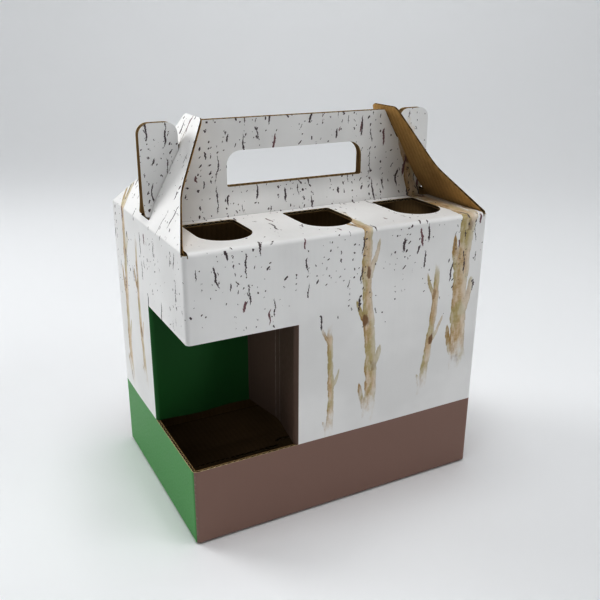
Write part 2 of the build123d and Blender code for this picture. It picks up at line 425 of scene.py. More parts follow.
def bark_flecks(ink, u, v):
    """Bark-like flecks, none low down and few on the shoulders: strokes, dashes and dots, and plum marks."""
    ragged = ink.noise(u, v, RAGGED_SCALE, detail=3.0, roughness=0.65)
    sway = ink.noise(u, v, SWAY_SCALE)
    bend = ink.noise(u, v, BEND_SCALE, detail=1.0)
    u = u + bend * BEND_REACH + (ragged * RAGGED_REACH[0] + sway * SWAY_REACH)
    v = v + ragged * RAGGED_REACH[1]
    cluster = ink.noise(u, v, CLUSTER_SCALE, detail=3.0).ramp(*CLUSTER_LEVELS)
    bare = v.ramp(*BARE_FOOT) - v.ramp(*BARE_TOP)
    long_side = u % (2 * (END + BACK)) < 2 * END
    bare *= long_side
    density = v.ramp(*FLECK_FOOT) * (bare * -BARE_SHARE + 1.0)
    density *= cluster + v.ramp(*DENSE_FOOT) * DENSE_SHARE
    strokes = fleck_trail(ink, u, v, density, **STROKES)
    dashes = fleck_trail(ink, u, v, density, **DASHES)
    dots = fleck_trail(ink, u, v, density, **DOTS)
    plum = fleck_trail(ink, u, v, density, **PLUM_MARKS)
    return ink.math("MAXIMUM", ink.math("MAXIMUM", strokes, dashes), dots), plum


# each sapling on the flat sheet: its foot, base, top and width in millimetres, its lean as a slope,
# and the phase of its sway
SAPLINGS = [
    (77.0, 46.0, 112.0, 4.6, 0.04, 1.0),
    (103.0, 52.0, 204.0, 7.6, -0.02, 0.4),
    (141.0, 60.0, 136.0, 5.6, 0.05, 5.2),
    (163.0, 70.0, 262.0, 11.0, 0.02, 2.1),
    (-74.0, 62.0, 150.0, 5.0, -0.04, 2.6),
    (-103.0, 50.0, 190.0, 7.0, 0.02, 3.0),
    (207.0, 48.0, 182.0, 8.0, 0.04, 0.9),
    (258.0, 60.0, 214.0, 9.0, -0.03, 4.2),
    (336.0, 52.0, 190.0, 8.5, 0.02, 5.1),
    (396.0, 47.0, 128.0, 6.0, -0.04, 2.7),
    (446.0, 58.0, 236.0, 9.0, 0.03, 1.6),
]
WASH_SCALE = (0.3, 0.13)
GRAIN_SCALE = (0.2, 1.9)
STEM_SWAY = 1.7
STEM_SWAY_RATE = 0.05
STEM_RAGGED = 2.4
STEM_HALF = 0.5
STEM_SWELL = 0.57
STEM_TAPER = 0.22
STEM_RIM = (-0.2, 0.25)
JOINT_RISE = 3.0
JOINT_REACH = 7.0
TWIG_SPACING = 27.0
TWIG_ANGLE = math.radians(34)
TWIG_CURL = 0.012
TWIG_REACH = (1.9, 1.5)
TWIG_HALF = 0.24
TWIG_TAPER = 0.1
TWIG_ROUND = (1.0, 0.82, 0.3, 1.0)
TWIG_END = (1.0, 0.93)
TWIG_RIM = (-0.2, 0.2)
TWIG_SHADE = (0.45, 1.0, 0.0, 0.4)
FOOT_FADE = (10.0, 34.0)
FOOT_WASH = 26.0
CROWN_FADE = (1.1, 0.95)
CROWN_WASH = 0.2
WASH_LEVELS = (0.3, 0.6, 0.7, 0.96)
PALE_SIDE = (0.1, 1.0, 1.0, 0.62)
RIM_SHADE = (1.0, 0.1, 0.0, 0.34)
GRAIN_SHADE = 0.45
SIDE_SHADE = 0.13
KNOT_HEIGHT = 5.0
KNOT_PLACE = (1.3, 0.5)
KNOT_WASH = 1.8
KNOT_RIM = (-0.25, -0.75)
KNOT_CHANCE = (0.2, 0.6)


def sapling_group():
    """A painted sapling: a swaying stem that thins upwards, with short blunt twigs and a washed-out foot."""
    tree = bpy.data.node_groups.new("painted_sapling", "ShaderNodeTree")
    given = ("u", "v", "foot", "base", "top", "width", "lean", "phase")
    for name in given:
        tree.interface.new_socket(name, in_out="INPUT", socket_type="NodeSocketFloat")
    for name in ("mask", "tone", "knot"):
        tree.interface.new_socket(name, in_out="OUTPUT", socket_type="NodeSocketFloat")
    ink = Ink(tree)
    give = tree.nodes.new("NodeGroupInput").outputs
    u, v, foot, base, top, width, lean, phase = [Value(ink, give[name]) for name in given]
    rise = v - base
    share = rise / (top - base)
    wander = ink.math("SINE", rise * STEM_SWAY_RATE + phase) * STEM_SWAY
    wash = ink.noise(u, v, WASH_SCALE, detail=4.0, roughness=0.6)
    x = u - (rise * lean + foot + wander) + (wash - 0.5) * STEM_RAGGED

    # the stem swells at the joints, where twigs leave it at one side and then the other
    joint = rise / TWIG_SPACING
    level = math.floor(joint)
    local = (joint - level) * TWIG_SPACING
    own = ink.scatter(level, phase)
    swell = abs(local - JOINT_RISE).ramp(JOINT_REACH, 0.0, STEM_HALF, STEM_SWELL)
    half = width * (share * -STEM_TAPER + swell)
    inside = half - abs(x)
    across = x / half
    out = x * (level % 2.0 * 2.0 - 1.0)

    # a twig is measured by its run along its own slant and by how far a spot is off its middle
    run = local * math.cos(TWIG_ANGLE) + out * math.sin(TWIG_ANGLE)
    off = out * math.cos(TWIG_ANGLE) - local * math.sin(TWIG_ANGLE) + run * run * TWIG_CURL
    reach = width * (own[0] * TWIG_REACH[1] + TWIG_REACH[0])
    along = run / ink.math("MINIMUM", reach, TWIG_SPACING)
    thick = width * (along * -TWIG_TAPER + TWIG_HALF) * along.ramp(*TWIG_ROUND)
    twig_inside = thick - abs(off)
    twig = twig_inside.ramp(*TWIG_RIM) * along.ramp(*TWIG_END) * (run > 0.0)

    # the paint is thin at the foot, the crown and the right side, and darker at rims, tips and knots
    body = ink.math("MAXIMUM", inside.ramp(*STEM_RIM), twig)
    body *= (wash * FOOT_WASH + rise).ramp(*FOOT_FADE)
    body *= (wash * CROWN_WASH + share).ramp(*CROWN_FADE)
    mask = body * wash.ramp(*WASH_LEVELS) * across.ramp(*PALE_SIDE)
    grain = ink.noise(u, v, GRAIN_SCALE, detail=3.0, roughness=0.6)
    shade = across * -SIDE_SHADE + (grain * GRAIN_SHADE + wash)
    shade += twig * along.ramp(*TWIG_SHADE)
    shade += ink.math("MAXIMUM", inside, twig_inside).ramp(*RIM_SHADE)
    high = (local - JOINT_RISE) / KNOT_HEIGHT
    wide = out / half * KNOT_PLACE[0] - KNOT_PLACE[1]
    knot = (wash * -KNOT_WASH + (high * high + wide * wide)).ramp(*KNOT_RIM) * own[1].ramp(*KNOT_CHANCE)
    take = tree.nodes.new("NodeGroupOutput").inputs
    ink.join(ink.math("MAXIMUM", mask, knot * body), take["mask"])
    ink.join(shade, take["tone"])
    ink.join(knot, take["knot"])
    return tree


WHITE = (0.81, 0.805, 0.795, 1)
OFF_WHITE = (0.75, 0.745, 0.735, 1)
FLECK_AND_SHADE_DARK = (0.080, 0.056, 0.061, 1)
FLECK_PLUM = (0.190, 0.095, 0.103, 1)
STEM_PALE = (0.64, 0.50, 0.33, 1)
STEM_DEEP = (0.36, 0.215, 0.055, 1)
STEM_OLIVE = (0.40, 0.36, 0.14, 1)
STEM_KNOT = (0.17, 0.070, 0.018, 1)
BAND_BROWN = (0.265, 0.167, 0.135, 1)
BAND_GREEN = (0.066, 0.286, 0.070, 1)
BAND_TOP = 44.5
CLOUD_SCALE = (0.02, 0.02)
CLOUD_LEVELS = (0.35, 0.7)
OLIVE_SCALE = (0.09, 0.05)
OLIVE_LEVELS = (0.45, 0.65, 0.0, 0.55)
STEM_LEVELS = (0.5, 1.25)
KNOT_DEPTH = 0.8
SCUFF_SCALE = (0.9, 0.9)
WORN_LEVELS = (0.45, 0.8, 0.0, 0.22)
WORN_CREASE = (0.3, 1.0)
CREASE_SHADE_LEVELS = (0.2, 0.9, 0.0, 0.35)
PRINT_ROUGHNESS = (0.2, 0.8, 0.34, 0.48)


def printed_paper():
    """The white printed liner: flecks, saplings and a solid band round the foot, green at the left, and
    painted shade along the handle's foot crease.
    """
    finish, ink, shader = new_finish("printed_paper")
    u, v, crease = ink.blank()
    cloud = ink.noise(u, v, CLOUD_SCALE, detail=3.0)
    colour = ink.mix(cloud.ramp(*CLOUD_LEVELS), WHITE, OFF_WHITE)
    olive = ink.noise(u, v, OLIVE_SCALE).ramp(*OLIVE_LEVELS)
    sapling = sapling_group()
    for values in SAPLINGS:
        mask, tone, knot = ink.add("ShaderNodeGroup", dict(enumerate((u, v, *values))), node_tree=sapling)
        paint = ink.mix(tone.ramp(*STEM_LEVELS), STEM_PALE, STEM_DEEP)
        paint = ink.mix(olive, paint, STEM_OLIVE)
        paint = ink.mix(knot * KNOT_DEPTH, paint, STEM_KNOT)
        colour = ink.mix(mask, colour, paint)
    flecks, plum = bark_flecks(ink, u, v)
    colour = ink.mix(flecks, colour, FLECK_AND_SHADE_DARK)
    colour = ink.mix(plum, colour, FLECK_PLUM)
    colour = ink.mix(v < BAND_TOP, colour, ink.mix(u < 0.0, BAND_BROWN, BAND_GREEN))
    scuff = ink.noise(u, v, SCUFF_SCALE, detail=4.0, roughness=0.7)
    colour = ink.mix(crease.ramp(*WORN_CREASE) * scuff.ramp(*WORN_LEVELS), colour, WHITE)
    # a dark line along the handle's foot crease: painted shade of the valley fold
    handle_fold_shade = v > SHOULDER + BACK / 2
    colour = ink.mix(handle_fold_shade * crease.ramp(*CREASE_SHADE_LEVELS), colour, FLECK_AND_SHADE_DARK)
    ink.join(colour, shader.inputs["Base Color"])
    ink.join(scuff.ramp(*PRINT_ROUGHNESS), shader.inputs["Roughness"])
    shader.inputs["Specular IOR Level"].default_value = 0.45
    paper_relief(ink, shader, u, v, ridge=0.1, grain=0.3)
    return finish


KRAFT_LIGHT = (0.36, 0.240, 0.106, 1)
KRAFT_DARK = (0.23, 0.140, 0.055, 1)
EDGE_LIGHT = (0.66, 0.54, 0.34, 1)
EDGE_DARK = (0.48, 0.36, 0.19, 1)
# the fluted medium is far darker than the kraft liners: painted shade in the recess between the liners
MEDIUM_SHADED_PALE = (0.12, 0.072, 0.032, 1)
MEDIUM_SHADED_DEEP = (0.075, 0.043, 0.018, 1)
KRAFT_CLOUD_SCALE = (0.05, 0.05)
KRAFT_FIBRE_SCALE = (2.2, 0.45)
KRAFT_CLOUD = 0.5
KRAFT_FIBRE = 0.7
KRAFT_STRIPE = 0.06
KRAFT_LEVELS = (0.35, 0.9)
KRAFT_RIDGE = 0.6
SPECK_SCALE = 0.8
SPECK_CHANCE = 0.6
SPECK_SIZE = 0.4
SPECK_DEPTH = 0.5


def kraft_paper(name, light, dark, ridge):
    """Unbleached kraft: long fibres, darker specks and faint stripes where the flutes are glued on."""
    finish, ink, shader = new_finish(name)
    u, v = ink.blank()[:2]
    cloud = ink.noise(u, v, KRAFT_CLOUD_SCALE, detail=4.0, roughness=0.6)
    fibre = ink.noise(u, v, KRAFT_FIBRE_SCALE, detail=5.0, roughness=0.7)
    tone = flute_wave(ink, u) * KRAFT_STRIPE + (fibre * KRAFT_FIBRE + cloud * KRAFT_CLOUD)
    colour = ink.mix(tone.ramp(*KRAFT_LEVELS), light, dark)
    far, chance = ink.cells(u, v, SPECK_SCALE)
    speck = far < (chance - SPECK_CHANCE) * SPECK_SIZE
    colour = ink.mix(speck * SPECK_DEPTH, colour, dark)
    ink.join(colour, shader.inputs["Base Color"])
    shader.inputs["Roughness"].default_value = 0.82
    shader.inputs["Specular IOR Level"].default_value = 0.2
    paper_relief(ink, shader, u, v, ridge, grain=0.6)
    return finish


printed = printed_paper()
kraft = kraft_paper("kraft_liner", KRAFT_LIGHT, KRAFT_DARK, KRAFT_RIDGE)
cut_edge = kraft_paper("cut_edge", EDGE_LIGHT, EDGE_DARK, ridge=0.0)
shaded_medium = kraft_paper("fluted_medium", MEDIUM_SHADED_PALE, MEDIUM_SHADED_DEEP, ridge=0.0)
BOARD_FINISHES = (printed, kraft, cut_edge, shaded_medium)

WALL_REACH = END - CREASE
SHOULDER_REACH = END - BOARD - SIDE_GAP
SILL = BAND_TOP
NICHE_TOP = 114.5
NICHE_END = 57.5 - END
HANDLE_FOOT = -7.1
HANDLE_HEIGHT = 51.2
HANDLE_GAP = 0.8
HANDLE_REACH = -HANDLE_FOOT - HANDLE_GAP / 2 - BOARD
HANDLE_LEAN = math.atan(HANDLE_REACH / HANDLE_HEIGHT)
PRESS_RISE = 14.0
PRESS_SHARE = 0.85
PRESS_CUTS = (2.0, 4.0, 6.0, 8.0, 10.0, 12.0, 14.0, 20.0, 28.0, 36.0, 44.0)
WING_RISE = 4.64
WING_EDGE = END - 0.4
WING_ROOT = END - 20.9
WING_CORNER = 6.0
SMALL_CORNER = 1.0
NOTCH_RISE = 35.0
NOTCH_SIDE = END - 22.37
NOTCH_TOP = END - 31.54
NOTCH_CORNER = 0.6
RELIEF_REACH = END - 7.0
HOLE_WIDTH = 29.0
HOLE_FRONT = FRONT + 12.0
HOLE_REAR = HOLE_FRONT + 37.0
HOLE_CORNER = 2.0
HOLE_FLAT = 0.4
HOLE_SPACING = (2 * END - 2 * BOARD) / 3
SLOT_REACH = 42.0
SLOT_RISE = 15.5
SLOT_TOP = SLOT_RISE + 19.0
SLOT_CORNER = 8.0
WALL_BOW = 0.6
WALL_GRID = (18, 18)

handle_top = (
    HANDLE_FOOT + HANDLE_HEIGHT * math.sin(HANDLE_LEAN),
    SHOULDER + HANDLE_HEIGHT * math.cos(HANDLE_LEAN),
)
gable_line = FoldLine(
    [(FRONT, CREASE, 0), (FRONT, SHOULDER, CREASE), (HANDLE_FOOT, SHOULDER, INNER_RADIUS), (*handle_top, 0)],
    side=1,
)


def on_wall(z):
    """How far up the flat sheet a height on the front or back wall is."""
    return z - CREASE


def on_shoulder(y):
    """How far up the flat sheet a depth on the front shoulder is."""
    return gable_line.starts[1] + y - FRONT - CREASE


def on_handle(rise):
    """How far up the flat sheet a rise from the handle's crease is."""
    return gable_line.length - HANDLE_HEIGHT + rise


gable_line.cuts += [on_handle(rise) for rise in PRESS_CUTS]


def handle_side():
    """The right half of a gable panel's edge, from the shoulder's crease up to the handle's top."""
    relief = HANDLE_FOOT - CREASE
    wall_top = gable_line.starts[1] - CORNER_RUN
    return [
        (WALL_REACH, wall_top, 0),
        (SHOULDER_REACH, wall_top, 0),
        (SHOULDER_REACH, on_shoulder(relief), 0),
        (RELIEF_REACH, on_shoulder(relief), SMALL_CORNER),
        (RELIEF_REACH, on_handle(WING_RISE), SMALL_CORNER),
        (WING_EDGE, on_handle(WING_RISE), SMALL_CORNER),
        (WING_EDGE, on_handle(HANDLE_HEIGHT), WING_CORNER),
        (WING_ROOT, on_handle(HANDLE_HEIGHT), WING_CORNER),
        (WING_ROOT, on_handle(NOTCH_RISE), NOTCH_CORNER),
        (NOTCH_SIDE, on_handle(NOTCH_RISE), NOTCH_CORNER),
        (NOTCH_TOP, on_handle(HANDLE_HEIGHT), SMALL_CORNER),
    ]


def mirror(corners):
    """The other half of an outline that is the same at both sides."""
    return [(-s, t, radius) for s, t, radius in reversed(corners)]


def neck_hole(middle):
    """A neck hole: round towards the box's outside, straight beside the handle."""
    radius = HOLE_WIDTH / 2
    corners = [
        (middle - radius, on_shoulder(HOLE_FRONT), (HOLE_WIDTH - HOLE_FLAT) / 2),
        (middle + radius, on_shoulder(HOLE_FRONT), (HOLE_WIDTH - HOLE_FLAT) / 2),
        (middle + radius, on_shoulder(HOLE_REAR), HOLE_CORNER),
        (middle - radius, on_shoulder(HOLE_REAR), HOLE_CORNER),
    ]
    return round_off(corners)


def gable_loops(window):
    """The cut outline of a wall with its shoulder and handle panel, and its holes."""
    right = handle_side()
    left = mirror(right)
    outline = [(-WALL_REACH, 0, 0), (WALL_REACH, 0, 0), *right, *left, *window]
    slot = [
        (-SLOT_REACH, on_handle(SLOT_RISE), SMALL_CORNER),
        (SLOT_REACH, on_handle(SLOT_RISE), SMALL_CORNER),
        (SLOT_REACH, on_handle(SLOT_TOP), SLOT_CORNER),
        (-SLOT_REACH, on_handle(SLOT_TOP), SLOT_CORNER),
    ]
    holes = [neck_hole(step * HOLE_SPACING) for step in (-1, 0, 1)]
    return [round_off(outline), *holes, round_off(slot)]


def handle_press(rise):
    """How far a handle panel curves in over its crease, pressed towards the other panel by the end flaps."""
    share = min(rise / PRESS_RISE, 1.0)
    spare = (1 - rise / HANDLE_HEIGHT) * HANDLE_REACH
    return PRESS_SHARE * spare * share * share * (3 - 2 * share)


def gable_bow(s, t):
    """A wall's middle stands out a little, but not beside the window. A handle panel is pressed in."""
    if t > on_handle(0):
        return handle_press(t - on_handle(0))
    share = t / on_wall(SHOULDER - CREASE)
    along = (s - NICHE_END - CREASE) / (WALL_REACH - NICHE_END - CREASE)
    if not 0 < share < 1 or not 0 < along < 1:
        return 0.0
    return -WALL_BOW * (math.sin(math.pi * share) * math.sin(math.pi * along)) ** 2


front_window = [
    (-WALL_REACH, on_wall(NICHE_TOP), 0),
    (NICHE_END + CREASE, on_wall(NICHE_TOP), 0),
    (NICHE_END + CREASE, on_wall(SILL), 0),
    (-WALL_REACH, on_wall(SILL), 0),
]
front_panel = fold_board(
    "front_panel",
    gable_loops(front_window),
    gable_line,
    UP,
    lambda y, z, x: (x, y, z),
    (END, CREASE),
    BOARD_FINISHES,
    grid=WALL_GRID,
    bow=gable_bow,
)
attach(front_panel, "carton")
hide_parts("carton")

# Back wall, back shoulder and back handle panel: the same run of the sheet on the far side, with no window.
# It is printed corrugated board, cut and creased with the rest of the sheet.
# Its left edge is glued over the seam flap of the left wall.
GIRTH_END = 2 * (CORNER_RUN + BACK - CREASE)
BACK_MIDDLE = 2 * END - CREASE + GIRTH_END + WALL_REACH
back_panel = fold_board(
    "back_panel",
    gable_loops([]),
    gable_line,
    UP,
    lambda y, z, x: (-x, -y, z),
    (BACK_MIDDLE, CREASE),
    BOARD_FINISHES,
    grid=WALL_GRID,
    bow=gable_bow,
)
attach(back_panel, "carton")
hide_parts("carton")

# End walls with the upright corner creases at both sides, of the same printed board.
# The left one is cut away at the front for the display niche.
# Their tops carry the end flaps and their feet the side flaps of the bottom.
NICHE_BACK = FRONT + 59.0
CORNER_FOOT = 1.3
END_BOW = 0.4
END_GRID = (12, 16)
end_line = FoldLine(
    [(-WALL_REACH, BACK, 0), (-END, BACK, CREASE), (-END, FRONT, CREASE), (-WALL_REACH, FRONT, 0)], side=-1
)


def on_end(y):
    """How far across the flat sheet a depth on an end wall is, from its rear edge."""
    return CORNER_RUN + BACK - CREASE - y


def end_loops(window):
    """An end wall's outline, which stops over the side flap's crease and under the end flap's."""
    rear = on_end(BACK - CREASE)
    front = on_end(FRONT + CREASE)
    flat_top = SHOULDER - CREASE
    outline = [
        (0, CORNER_FOOT),
        (rear, CORNER_FOOT),
        (rear, CREASE),
        (front, CREASE),
        (front, CORNER_FOOT),
        (end_line.length, CORNER_FOOT),
        *window,
        (end_line.length, SHOULDER - SIDE_GAP),
        (front, SHOULDER - SIDE_GAP),
        (front, flat_top),
        (rear, flat_top),
        (rear, SHOULDER - SIDE_GAP),
        (0, SHOULDER - SIDE_GAP),
    ]
    return [[Vector(point) for point in outline]]


def end_bow(s, t):
    """An end wall's rear half stands out a little."""
    along = s / on_end(NICHE_BACK + CREASE)
    if not 0 < along < 1:
        return 0.0
    return -END_BOW * (math.sin(math.pi * along) * math.sin(math.pi * t / SHOULDER)) ** 2


left_window = [
    (end_line.length, SILL),
    (on_end(NICHE_BACK + CREASE), SILL),
    (on_end(NICHE_BACK + CREASE), NICHE_TOP),
    (end_line.length, NICHE_TOP),
]
left_wall = fold_board(
    "left_wall",
    end_loops(left_window),
    end_line,
    ACROSS,
    lambda x, y, z: (x, y, z),
    (CREASE - end_line.length, 0),
    BOARD_FINISHES,
    grid=END_GRID,
    bow=end_bow,
)
right_wall = fold_board(
    "right_wall",
    end_loops([]),
    end_line,
    ACROSS,
    lambda x, y, z: (-x, -y, z),
    (2 * END - CREASE, 0),
    BOARD_FINISHES,
    grid=END_GRID,
    bow=end_bow,
)
for wall in (left_wall, right_wall):
    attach(wall, "carton")
    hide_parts("carton")

# Display niche: the front left corner of the sheet, cut above and below and pushed inwards.
# It is the same board, printed brown on the end wall and green on the back wall, both darker than the outside
# band as painted shade of the recess.
# Two soft relief creases let the end wall give, so it bulges a little into the box.
NICHE_BOW = 4.6
RELIEF_SPACING = 5.0
RELIEF_RADIUS = 2.0
CUT_GAP = 0.15
NICHE_WAVE = 1.4
NICHE_WAVE_RISE = 40.0
NICHE_GRID = (30, 6)
relief_middle = (FRONT + NICHE_BACK) / 2
niche_line = FoldLine(
    [
        (NICHE_END + CREASE, FRONT, 0),
        (NICHE_END, FRONT, CREASE),
        (NICHE_END + NICHE_BOW, relief_middle - RELIEF_SPACING / 2, RELIEF_RADIUS),
        (NICHE_END + NICHE_BOW, relief_middle + RELIEF_SPACING / 2, RELIEF_RADIUS),
        (NICHE_END, NICHE_BACK, INNER_RADIUS),
        (-END, NICHE_BACK, CREASE),
        (-END, NICHE_BACK + CREASE, 0),
    ],
    side=1,
)
NICHE_FOLD = niche_line.starts[4]
# the niche's brown and green are darker than the outside band's: painted shade of the recess
NICHE_SHADED_BROWN = (0.150, 0.100, 0.078, 1)
NICHE_SHADED_GREEN = (0.020, 0.130, 0.030, 1)
NICHE_SCUFF_SCALE = (0.5, 0.3)
NICHE_WORN_LEVELS = (0.35, 0.7, 0.1, 0.3)
NICHE_SCORE = (0.5, 0.1)
NICHE_ROUGHNESS = (0.2, 0.8, 0.36, 0.5)


def shaded_niche_paper():
    """The niche's print, darkened as painted shade of the recess: brown, then green from the inner fold on,
    with pale worn lines on the creases.
    """
    finish, ink, shader = new_finish("niche_print_painted_shade")
    u, v = ink.blank()[:2]
    colour = ink.mix(u > NICHE_FOLD, NICHE_SHADED_BROWN, NICHE_SHADED_GREEN)
    scuff = ink.noise(u, v, NICHE_SCUFF_SCALE, detail=4.0, roughness=0.7)
    for run in niche_line.starts[2:4]:
        worn = abs(u - run).ramp(*NICHE_SCORE) * scuff.ramp(*NICHE_WORN_LEVELS)
        colour = ink.mix(worn, colour, OFF_WHITE)
    ink.join(colour, shader.inputs["Base Color"])
    ink.join(scuff.ramp(*NICHE_ROUGHNESS), shader.inputs["Roughness"])
    shader.inputs["Specular IOR Level"].default_value = 0.2
    paper_relief(ink, shader, u, v, ridge=0.15, grain=0.3)
    return finish


def niche_wave(s, t):
    """The green wall is not held at its top and foot, and waves a little."""
    share = (s - NICHE_FOLD) / (niche_line.length - NICHE_FOLD)
    if not 0 < share < 1:
        return 0.0
    return NICHE_WAVE * math.sin(math.pi * share) * math.sin(2 * math.pi * share + t / NICHE_WAVE_RISE)


niche = fold_board(
    "niche_walls",
    [
        [
            Vector((0, SILL + CUT_GAP)),
            Vector((niche_line.length, SILL + CUT_GAP)),
            Vector((niche_line.length, NICHE_TOP - CUT_GAP)),
            Vector((0, NICHE_TOP - CUT_GAP)),
        ]
    ],
    niche_line,
    ACROSS,
    lambda x, y, z: (x, y, z),
    (0, 0),
    (shaded_niche_paper(), kraft, cut_edge, shaded_medium),
    grid=NICHE_GRID,
    bow=niche_wave,
)
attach(niche, "carton")
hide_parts("carton")

# Glue seam: a strip of the left wall's board, glued flat inside the back wall.
# It is printed board with its corners cut back, and only its kraft side shows.
# It is what makes the flat sheet into a tube.
SEAM_WIDTH = 28.0
SEAM_MARGIN = 12.0
SEAM_TAPER = 6.0
seam_start = -END + BOARD
seam_line = FoldLine([(seam_start + SEAM_WIDTH, BACK - BOARD, 0), (seam_start, BACK - BOARD, 0)], side=-1)
seam = fold_board(
    "seam_flap",
    [
        [
            Vector((0, SEAM_MARGIN + SEAM_TAPER)),
            Vector((SEAM_WIDTH, SEAM_MARGIN)),
            Vector((SEAM_WIDTH, SHOULDER - SEAM_MARGIN)),
            Vector((0, SHOULDER - SEAM_MARGIN - SEAM_TAPER)),
        ]
    ],
    seam_line,
    ACROSS,
    lambda x, y, z: (x, y, z),
    (0, 0),
    BOARD_FINISHES,
)
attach(seam, "carton")
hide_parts("carton")

# Bottom flaps: the long front flap lies lowest, and the side flaps and the back flap step up on to it.
# They are the same board, brown outside and kraft inside, folded in from the walls' feet; their kraft is
# painted darker than the walls', as painted shade inside the box.
# A recess in the back flap's free edge locks it over the front flap.
STEP_LENGTH = 8.0
STEP_RISE = BOARD + 0.3
BACK_FLAP_EDGE = BACK - 58.0
BACK_FLAP_ROOT = BACK - 39.0
SIDE_ROOT = END - BOARD - 4.0
SIDE_TIP = END - BOARD - 46.0
SIDE_TAPER = 18.0
SIDE_FLAP_FRONT = FRONT + BOARD + SIDE_GAP
SIDE_FLAP_REAR = BACK_FLAP_EDGE - SIDE_GAP
FRONT_FLAP_EDGE = FRONT + 73.0
RECESS_REACH = 10.0
RECESS_DEPTH = 6.5
RECESS_CORNER = 4.0
# the bottom flaps' kraft is darker than the walls' kraft: painted shade on the floor inside the box
BOTTOM_SHADED_PALE = (0.125, 0.076, 0.030, 1)
BOTTOM_SHADED_DEEP = (0.075, 0.043, 0.016, 1)
shaded_bottom_kraft = kraft_paper("shaded_bottom_kraft", BOTTOM_SHADED_PALE, BOTTOM_SHADED_DEEP, KRAFT_RIDGE)
BOTTOM_FINISHES = (printed, shaded_bottom_kraft, cut_edge, shaded_medium)


def bottom_piece(name, start, corners, line, place):
    """One bottom flap, printed face down, folded from a wall's foot."""
    flap = fold_board(name, [round_off(corners)], line, UP, place, (start, -line.length), BOTTOM_FINISHES)
    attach(flap, "carton")
    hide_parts("carton")


front_flap_line = FoldLine([(FRONT, CREASE, 0), (FRONT, 0, CREASE), (FRONT_FLAP_EDGE, 0, 0)], side=-1)
front_root = SIDE_ROOT - STEP_LENGTH - SIDE_GAP
front_step = CORNER_RUN + BACK_FLAP_EDGE - SIDE_GAP / 2 - FRONT - CREASE
bottom_piece(
    "bottom_front_flap",
    END,
    [
        (-WALL_REACH, 0, 0),
        (WALL_REACH, 0, 0),
        (WALL_REACH, CORNER_RUN, 0),
        (front_root, CORNER_RUN, 0),
        (front_root, front_step, 0),
        (WALL_REACH, front_step, 0),
        (WALL_REACH, front_flap_line.length, 0),
        (-WALL_REACH, front_flap_line.length, 0),
        (-WALL_REACH, front_step, 0),
        (-front_root, front_step, 0),
        (-front_root, CORNER_RUN, 0),
        (-WALL_REACH, CORNER_RUN, 0),
    ],
    front_flap_line,
    lambda y, z, x: (x, y, z),
)

back_flap_line = FoldLine(
    [
        (-BACK, CREASE, 0),
        (-BACK, 0, CREASE),
        (-BACK_FLAP_ROOT, 0, INNER_RADIUS),
        (STEP_LENGTH - BACK_FLAP_ROOT, STEP_RISE, CREASE),
        (-BACK_FLAP_EDGE, STEP_RISE, 0),
    ],
    side=-1,
)
back_end = back_flap_line.length
bottom_piece(
    "bottom_back_flap",
    BACK_MIDDLE,
    [
        (-WALL_REACH, 0, 0),
        (WALL_REACH, 0, 0),
        (WALL_REACH, back_end, 0),
        (RECESS_REACH, back_end, 0),
        (RECESS_REACH, back_end - RECESS_DEPTH, RECESS_CORNER),
        (-RECESS_REACH, back_end - RECESS_DEPTH, RECESS_CORNER),
        (-RECESS_REACH, back_end, 0),
        (-WALL_REACH, back_end, 0),
    ],
    back_flap_line,
    lambda y, z, x: (-x, -y, z),
)

side_flap_line = FoldLine(
    [
        (-END, CREASE, 0),
        (-END, 0, CREASE),
        (-SIDE_ROOT, 0, INNER_RADIUS),
        (STEP_LENGTH - SIDE_ROOT, STEP_RISE, CREASE),
        (-SIDE_TIP, STEP_RISE, 0),
    ],
    side=-1,
)
for end, name, start in ((-1, "bottom_left_flap", -GIRTH_END), (1, "bottom_right_flap", 2 * END + BACK)):
    bottom_piece(
        name,
        start,
        [
            (BACK - CREASE, 0, 0),
            (BACK - CREASE, CORNER_RUN, 0),
            (SIDE_FLAP_REAR, CORNER_RUN, 0),
            (SIDE_FLAP_REAR, side_flap_line.length, 0),
            (SIDE_FLAP_FRONT + SIDE_TAPER, side_flap_line.length, 0),
            (SIDE_FLAP_FRONT, side_flap_line.length - SIDE_TAPER, 0),
            (SIDE_FLAP_FRONT, CORNER_RUN, 0),
            (FRONT + CREASE, CORNER_RUN, 0),
            (FRONT + CREASE, 0, 0),
        ],
        side_flap_line,
        lambda x, z, y, end=end: (-end * x, y, z),
    )

# End flaps: each folds in from an end wall's top, narrows to a strap and locks over the doubled wings.
# They are the same printed board; the slot's upper lips spring together again in the notch behind the wing.
# Each is folded at its crease, so the crease bends between the carton and the flap.
LEAN = math.radians(29.5)
CREASE_TURN_RADIUS = 2.0
FLAP_LENGTH = 61.29
FLAP_ROOT = BACK - CREASE
FLAP_NECK_RISE = 24.0
FLAP_NECK = 28.5
FLAP_NECK_BEND = 25.0
FLAP_TIP = 12.0
FLAP_TIP_CORNER = 4.0
FLAP_SLOT_START = 3.5
FLAP_SLOT_END = 54.29
SLOT_ROOM = 0.3
LIP_START = 42.8
SLOT_RISES = (FLAP_SLOT_START, 7.0, 10.0, 13.0, 17.0, 25.0, LIP_START)
LIP_END = 45.2
LIP_HALF = 0.2
CRUSH = 0.5
CRUSH_WIDTH = 1.6
CRUSH_START = 6.0
FOLD_CUTS = (0.5, 1.0, 1.5, 2.0, 2.5, 3.0, FLAP_SLOT_START)
# the flaps' kraft side is paler than the other kraft: painted light on the straps' inner faces
FLAP_LIT_PALE = (0.54, 0.345, 0.138, 1)
FLAP_LIT_DEEP = (0.36, 0.215, 0.072, 1)
